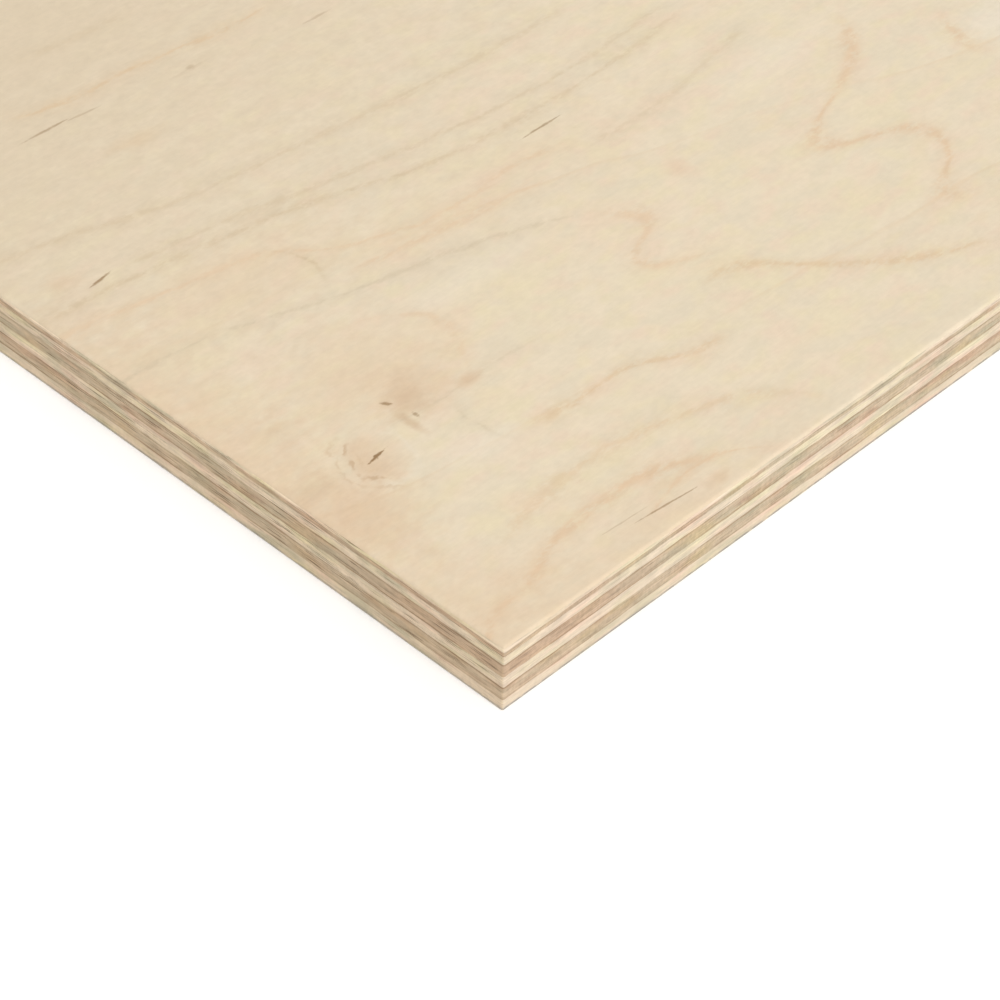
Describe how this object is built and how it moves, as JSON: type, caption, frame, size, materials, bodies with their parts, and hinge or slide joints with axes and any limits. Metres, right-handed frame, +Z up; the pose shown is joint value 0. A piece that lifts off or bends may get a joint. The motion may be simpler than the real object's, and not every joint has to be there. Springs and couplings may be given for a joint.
{
  "type": "plywood sheet",
  "caption": "Flat rectangular sheet of pale birch plywood, with square-sawn edges that show its bonded veneers and a smooth sanded face.",
  "frame": {"origin": "middle of the underside, on the floor that the sheet lies on", "axes": "+X along the sheet's length and its face grain, +Y across its width, +Z up out of its face"},
  "size_m": [2.44, 1.22, 0.009],
  "materials": {
    "face_veneer": "sanded smooth, bare",
    "face_crossband": "sawn edge, bare",
    "upper_long_band": "sawn edge, bare",
    "centre_crossband": "sawn edge, bare",
    "lower_long_band": "sawn edge, bare",
    "back_crossband": "sawn edge, bare",
    "back_veneer": "sanded smooth, bare"
  },
  "bodies": {
    "root": {"face_veneer": "face_veneer", "face_crossband": "face_crossband", "upper_long_band": "upper_long_band", "centre_crossband": "centre_crossband", "lower_long_band": "lower_long_band", "back_crossband": "back_crossband", "back_veneer": "back_veneer"}
  },
  "joints": []
}
